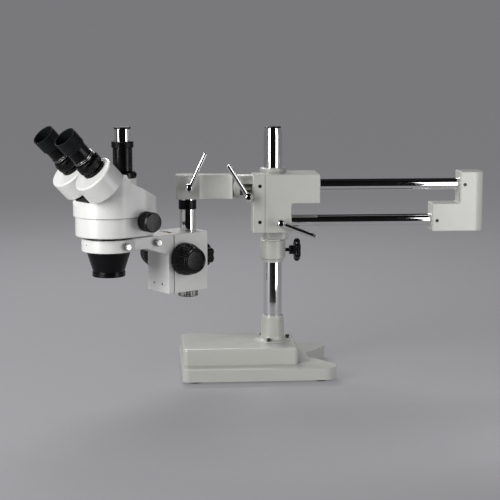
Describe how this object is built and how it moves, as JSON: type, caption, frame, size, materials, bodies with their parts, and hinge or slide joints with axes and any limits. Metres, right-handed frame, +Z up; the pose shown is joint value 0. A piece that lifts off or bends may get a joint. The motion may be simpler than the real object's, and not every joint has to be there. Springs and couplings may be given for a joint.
{
  "type": "stereo microscope",
  "caption": "Trinocular stereo microscope whose head hangs in a ring from a geared focus mount on a double-rod boom stand with a round pillar and a heavy base.",
  "frame": {"origin": "on the pillar's axis, at the underside of the base casting; the rubber feet reach 4 mm lower", "axes": "+Z up along the pillar, +X along the boom towards its rear, -Y towards the side that carries the clamp levers"},
  "size_m": [0.7512, 0.3144, 0.4329],
  "materials": {
    "stand_paint": "semi-gloss light grey paint over an iron casting",
    "foot_rubber": "matt black rubber",
    "dark_steel": "blackened socket-head screws",
    "pillar_chrome": "polished hard chrome",
    "cap_plastic": "satin black",
    "knob_plastic": "moulded black plastic",
    "washer_nylon": "natural nylon",
    "bush_brass": "turned brass",
    "lever_chrome": "polished chrome",
    "spindle_steel": "ground steel",
    "head_paint": "smooth white enamel",
    "black_metal": "black anodised, semi-gloss",
    "ring_plastic": "moulded black plastic with grip ribs",
    "eyecup_rubber": "soft matt rubber",
    "optical_glass": "coated glass"
  },
  "bodies": {
    "stand": {"base_casting": "stand_paint", "rubber_feet": "foot_rubber", "pillar_socket": "stand_paint", "socket_screws": "dark_steel", "pillar": "pillar_chrome", "pillar_cap": "cap_plastic"},
    "collar": {"stop_collar": "stand_paint", "thrust_washer": "washer_nylon"},
    "collar_knob": {"collar_knob": "knob_plastic"},
    "block": {"boom_block": "stand_paint", "rod_bushings": "bush_brass"},
    "boom_lever": {"boom_lock_lever": "lever_chrome"},
    "swing_lock": {"swing_lock_knob": "knob_plastic"},
    "boom": {"upper_rod": "pillar_chrome", "lower_rod": "pillar_chrome", "rear_bracket": "stand_paint", "front_yoke": "stand_paint", "rod_set_screws": "dark_steel"},
    "tilt_lever": {"tilt_lever": "lever_chrome"},
    "arm": {"swing_arm": "stand_paint", "tilt_spindle": "spindle_steel"},
    "post_lever": {"post_lever": "lever_chrome"},
    "post": {"focus_post": "pillar_chrome", "post_spacer": "cap_plastic", "post_stop_ring": "cap_plastic"},
    "focus_body": {"focus_housing": "head_paint"},
    "clamp_knob": {"post_clamp_knob": "knob_plastic"},
    "pinion": {"pinion_shaft": "spindle_steel", "right_focus_knob": "knob_plastic", "left_focus_knob": "knob_plastic"},
    "slide": {"ring_holder": "head_paint", "dovetail_slide": "spindle_steel", "focus_rack": "bush_brass"},
    "ring_screw": {"ring_clamp_screw": "lever_chrome"},
    "arm_screw": {"arm_clamp_screw": "lever_chrome"},
    "head": {"lower_housing": "head_paint", "upper_housing": "head_paint", "objective_shroud": "black_metal", "objective_lenses": "optical_glass", "zoom_guide_rods": "spindle_steel", "photo_tube": "black_metal"},
    "zoom_drive": {"zoom_shaft": "spindle_steel", "right_zoom_knob": "knob_plastic", "left_zoom_knob": "knob_plastic"},
    "zoom_cells": {"zoom_lens_cells": "black_metal"},
    "right_eye": {"right_prism_housing": "head_paint", "right_prism": "optical_glass", "right_eyetube": "black_metal", "right_eyepiece": "black_metal", "right_eyecup": "eyecup_rubber"},
    "left_eye": {"left_prism_housing": "head_paint", "left_prism": "optical_glass", "left_eyetube": "black_metal", "left_eyepiece": "black_metal", "left_eyecup": "eyecup_rubber"},
    "right_diopter": {"right_diopter_ring": "ring_plastic"},
    "left_diopter": {"left_diopter_ring": "ring_plastic"},
    "photo_draw": {"photo_draw_tube": "lever_chrome"},
    "photo_ring": {"photo_clamp_ring": "black_metal"},
    "photo_cap": {"photo_cap": "cap_plastic"}
  },
  "joints": [
    {"name": "collar_slide", "type": "slide", "parent": "stand", "child": "collar", "axis": [0, 0, 1], "range_m": [-0.035, 0.06]},
    {"name": "collar_knob_turn", "type": "hinge", "parent": "collar", "child": "collar_knob", "pos_m": [0.04, 0, 0.2055], "axis": [1, 0, 0], "range_deg": [-180, 180]},
    {"name": "boom_swing", "type": "hinge", "parent": "collar", "child": "block", "pos_m": [0, 0, 0.29], "axis": [0, 0, 1], "range_deg": [-180, 180]},
    {"name": "boom_lock_turn", "type": "hinge", "parent": "block", "child": "boom_lever", "pos_m": [0.0077, -0.062, 0.259], "axis": [0, 1, 0], "range_deg": [-51, 51]},
    {"name": "swing_lock_turn", "type": "hinge", "parent": "block", "child": "swing_lock", "pos_m": [0.002, 0.035, 0.262], "axis": [0, 1, 0], "range_deg": [-180, 180]},
    {"name": "boom_slide", "type": "slide", "parent": "block", "child": "boom", "axis": [-1, 0, 0], "range_m": [0, 0.233]},
    {"name": "tilt_lever_turn", "type": "hinge", "parent": "boom", "child": "tilt_lever", "pos_m": [-0.0469, -0.062, 0.304], "axis": [0, 1, 0], "range_deg": [-17, 52]},
    {"name": "arm_roll", "type": "hinge", "parent": "boom", "child": "arm", "pos_m": [-0.072, -0.03, 0.32], "axis": [1, 0, 0], "range_deg": [-30, 30]},
    {"name": "post_lever_turn", "type": "hinge", "parent": "arm", "child": "post_lever", "pos_m": [-0.1457, -0.062, 0.32], "axis": [0, 1, 0], "range_deg": [-70, 14]},
    {"name": "post_swivel", "type": "hinge", "parent": "arm", "child": "post", "pos_m": [-0.1475, -0.03, 0.32], "axis": [0, 0, 1], "range_deg": [-114, 46]},
    {"name": "post_slide", "type": "slide", "parent": "post", "child": "focus_body", "axis": [0, 0, 1], "range_m": [0, 0.033]},
    {"name": "clamp_knob_turn", "type": "hinge", "parent": "focus_body", "child": "clamp_knob", "pos_m": [-0.11765, -0.00987, 0.2], "axis": [-0.829, -0.5592, 0], "range_deg": [-180, 180]},
    {"name": "focus_slide", "type": "slide", "parent": "focus_body", "child": "slide", "axis": [0, 0, 1], "range_m": [-0.018, 0.025]},
    {"name": "pinion_turn", "type": "hinge", "parent": "focus_body", "child": "pinion", "pos_m": [-0.17403, -0.04789, 0.204], "axis": [0.5592, -0.829, 0], "range_deg": [-206, 149]},
    {"name": "ring_screw_turn", "type": "hinge", "parent": "slide", "child": "ring_screw", "pos_m": [-0.24792, -0.15563, 0.2365], "axis": [0.5592, -0.829, 0], "range_deg": [-180, 180]},
    {"name": "arm_screw_turn", "type": "hinge", "parent": "slide", "child": "arm_screw", "pos_m": [-0.19825, -0.10766, 0.236], "axis": [0.5592, -0.829, 0], "range_deg": [-180, 180]},
    {"name": "head_turn", "type": "hinge", "parent": "slide", "child": "head", "pos_m": [-0.2789, -0.11863, 0.236], "axis": [0, 0, 1], "continuous": true},
    {"name": "zoom_turn", "type": "hinge", "parent": "head", "child": "zoom_drive", "pos_m": [-0.24989, -0.09906, 0.2763], "axis": [0.5592, -0.829, 0], "range_deg": [-135, 135]},
    {"name": "zoom_cells_slide", "type": "slide", "parent": "head", "child": "zoom_cells", "axis": [0, 0, 1], "range_m": [-0.00589, 0.00589]},
    {"name": "right_prism_turn", "type": "hinge", "parent": "head", "child": "right_eye", "pos_m": [-0.28017, -0.16146, 0.3315], "axis": [-0.5862, -0.3954, 0.7071], "range_deg": [-38, 38]},
    {"name": "left_prism_turn", "type": "hinge", "parent": "head", "child": "left_eye", "pos_m": [-0.31909, -0.10376, 0.3315], "axis": [-0.5862, -0.3954, 0.7071], "range_deg": [-38, 38]},
    {"name": "right_diopter_turn", "type": "hinge", "parent": "right_eye", "child": "right_diopter", "pos_m": [-0.30666, -0.17656, 0.37322], "axis": [-0.5862, -0.3954, 0.7071], "range_deg": [-90, 90]},
    {"name": "left_diopter_turn", "type": "hinge", "parent": "left_eye", "child": "left_diopter", "pos_m": [-0.34301, -0.12267, 0.37322], "axis": [-0.5862, -0.3954, 0.7071], "range_deg": [-90, 90]},
    {"name": "photo_draw_slide", "type": "slide", "parent": "head", "child": "photo_draw", "axis": [0, 0, 1], "range_m": [-0.011, 0.015]},
    {"name": "photo_ring_turn", "type": "hinge", "parent": "head", "child": "photo_ring", "pos_m": [-0.25445, -0.10214, 0.396], "axis": [0, 0, 1], "range_deg": [-90, 90]},
    {"name": "cap_lift", "type": "slide", "parent": "photo_draw", "child": "photo_cap", "axis": [0, 0, 1], "range_m": [0, 0.03]}
  ],
  "couplings": [
    {"joint": "pinion_turn", "follows": "focus_slide", "rad_per_m": -142.86},
    {"joint": "zoom_turn", "follows": "zoom_cells_slide", "rad_per_m": 400},
    {"joint": "left_prism_turn", "follows": "right_prism_turn", "ratio": -1}
  ]
}
